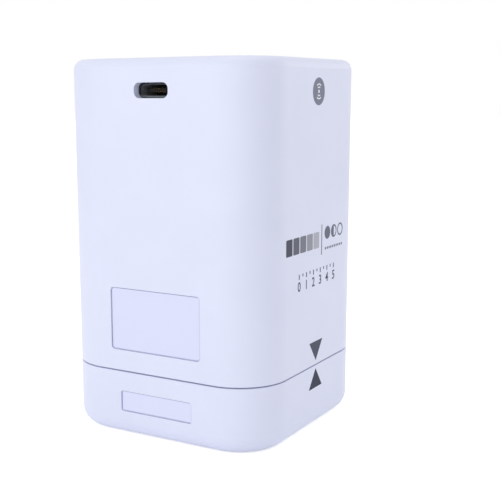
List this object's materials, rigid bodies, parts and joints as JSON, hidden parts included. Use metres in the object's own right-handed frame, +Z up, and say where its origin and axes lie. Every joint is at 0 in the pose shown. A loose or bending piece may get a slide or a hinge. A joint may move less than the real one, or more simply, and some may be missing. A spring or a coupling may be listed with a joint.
{
  "type": "handheld colour spectrophotometer",
  "caption": "Palm-size colour spectrophotometer, a rounded square-section tower standing on its calibration cap, with a socket and a label recess in the rear face.",
  "frame": {"origin": "centre of the calibration cap's underside, on the surface it stands on", "axes": "+Z up, the direction in which the instrument lifts off its cap; -Y out of the rear face with the charging socket and the label recess; +X out of the side face with the alignment marks"},
  "size_m": [0.0564, 0.0564, 0.0905],
  "materials": {
    "casing": "satin bluish-white moulded ABS",
    "label": "plain vinyl film",
    "tray": "satin light grey moulded ABS",
    "foam": "closed-cell foam",
    "ceramic": "glossy white glazed ceramic",
    "black_plastic": "matt black moulded plastic",
    "nickel": "nickel plate",
    "steel": "bright zinc-plated steel",
    "black_steel": "black oxide steel",
    "sphere_white": "matt white diffuse coating",
    "aluminium": "black anodised",
    "glass": "clear coated glass",
    "display_glass": "glossy glass, printed black behind",
    "panel": "display glass",
    "tape": "black adhesive film",
    "board": "green solder mask on glass-fibre board",
    "white_board": "white solder mask on glass-fibre board",
    "led": "silicone over phosphor",
    "chip": "moulded epoxy",
    "connector": "ivory nylon",
    "brass": "turned brass",
    "key_grey": "satin grey moulded ABS",
    "plunger": "moulded nylon",
    "pouch": "laminated aluminium pouch",
    "wire": "silicone insulation",
    "ribbon": "polyimide film"
  },
  "bodies": {
    "cap": {"cap_shell": "casing", "cap_label": "label", "tile_tray": "tray", "tile_pad": "foam", "white_tile": "ceramic", "tile_ring": "black_plastic", "cap_magnets": "nickel", "tray_screws": "steel"},
    "measure_button": {"measure_key": "key_grey", "measure_plunger": "plunger"},
    "power_button": {"power_key": "key_grey", "power_plunger": "plunger"},
    "instrument": {"aperture_ring": "black_plastic", "base_plate": "tray", "base_screws": "steel", "battery_cell": "pouch", "battery_lead": "wire", "battery_plug": "connector", "battery_socket": "connector", "battery_tray": "tray", "board_chips": "chip", "board_screws": "steel", "board_standoffs": "brass", "body_label": "label", "body_magnets": "nickel", "body_shell": "casing", "charging_socket": "nickel", "collecting_lens": "glass", "display_holder": "black_plastic", "display_panel": "panel", "display_ribbon": "ribbon", "display_window": "display_glass", "field_stop": "aluminium", "key_switches": "black_steel", "led_ribbon": "ribbon", "led_ring_board": "white_board", "led_screws": "steel", "leds": "led", "lens_barrel": "aluminium", "lens_spacer": "aluminium", "light_seal": "foam", "main_board": "board", "radio_shield": "nickel", "ribbon_sockets": "connector", "sensor_board": "board", "sensor_ribbon": "ribbon", "sensor_screws": "steel", "socket_tongue": "chip", "spectral_sensor": "chip", "sphere_lower": "sphere_white", "sphere_upper": "sphere_white", "window_adhesive": "tape"}
  },
  "joints": [
    {"name": "lift_off", "type": "slide", "parent": "cap", "child": "instrument", "axis": [0, 0, 1], "range_m": [0, 0.04]},
    {"name": "measure_press", "type": "slide", "parent": "instrument", "child": "measure_button", "axis": [0, 0, -1], "range_m": [0, 0.0005], "stiffness_N_per_m": 2000},
    {"name": "power_press", "type": "slide", "parent": "instrument", "child": "power_button", "axis": [0, 0, -1], "range_m": [0, 0.0005], "stiffness_N_per_m": 2000}
  ]
}
